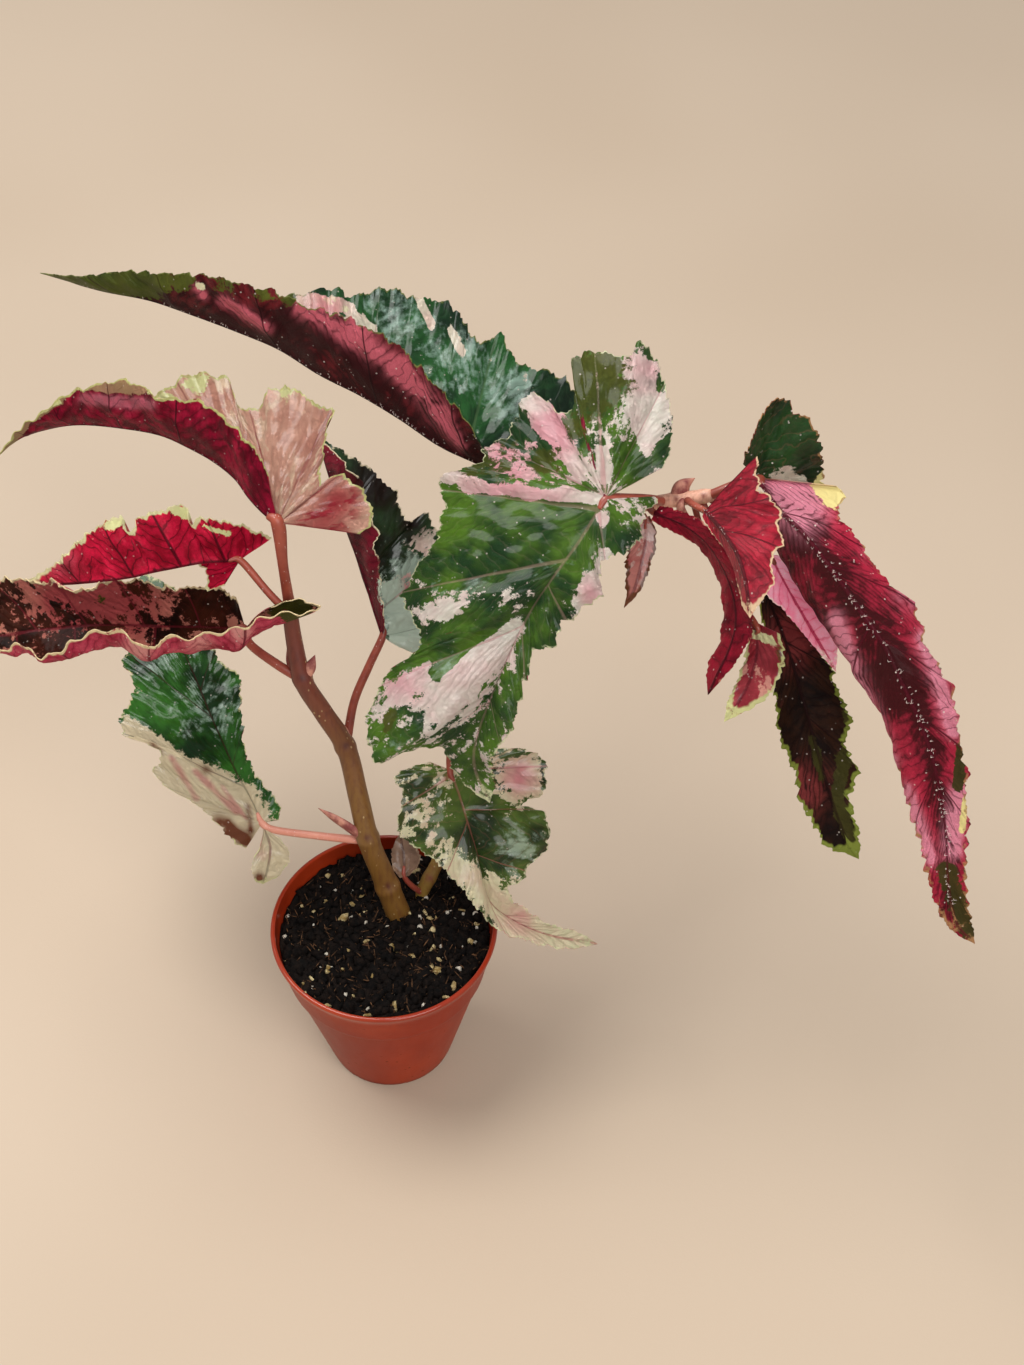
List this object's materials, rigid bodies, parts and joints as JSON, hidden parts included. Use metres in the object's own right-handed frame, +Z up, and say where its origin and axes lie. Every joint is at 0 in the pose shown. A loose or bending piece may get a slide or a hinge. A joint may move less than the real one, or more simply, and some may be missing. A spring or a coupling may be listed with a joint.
{
  "type": "potted begonia",
  "caption": "Cane begonia with large toothed, lobed leaves on two canes, growing in a tapered plastic nursery pot filled with soil.",
  "frame": {"origin": "centre of the pot's flat underside", "axes": "+Z up out of the pot, +X to the right and +Y away from the viewer in the picture"},
  "size_m": [0.4911, 0.3219, 0.381],
  "materials": {
    "pot": "satin terracotta-coloured plastic",
    "soil": "damp peat mix with perlite and bark",
    "main_cane": "olive-brown cane with darker joints",
    "side_cane": "olive cane",
    "leaf_broad_middle": "glossy leaf, green with cream and pink",
    "leaf_long_back": "glossy leaf, green above, maroon below",
    "leaf_over_rim": "glossy leaf, green with cream and pink",
    "leaf_low_left": "glossy leaf, green with silver",
    "leaf_folded_middle": "glossy leaf, crimson below",
    "leaf_boat_left": "glossy leaf, dark green-brown",
    "leaf_top_left": "glossy leaf, pink and cream, crimson below",
    "leaf_red_left": "glossy leaf, crimson below",
    "leaf_long_right": "glossy leaf, crimson below",
    "leaf_red_right": "glossy leaf, crimson",
    "leaf_hanging_right": "glossy leaf, dark brown-green",
    "leaf_pink_right": "young pink leaf",
    "leaf_strap_right": "narrow dark red leaf",
    "leaf_young_middle": "young pinkish-brown leaf",
    "leaf_young_right": "young crimson-pink leaf",
    "sprout_low": "young grey-brown leaf"
  },
  "bodies": {
    "root": {"pot": "pot", "soil": "soil", "main_cane": "main_cane", "side_cane": "side_cane", "leaf_broad_middle": "leaf_broad_middle", "leaf_long_back": "leaf_long_back", "leaf_over_rim": "leaf_over_rim", "leaf_low_left": "leaf_low_left", "leaf_folded_middle": "leaf_folded_middle", "leaf_boat_left": "leaf_boat_left", "leaf_top_left": "leaf_top_left", "leaf_red_left": "leaf_red_left", "leaf_long_right": "leaf_long_right", "leaf_red_right": "leaf_red_right", "leaf_hanging_right": "leaf_hanging_right", "leaf_pink_right": "leaf_pink_right", "leaf_strap_right": "leaf_strap_right", "leaf_young_middle": "leaf_young_middle", "leaf_young_right": "leaf_young_right", "sprout_low": "sprout_low"}
  },
  "joints": []
}
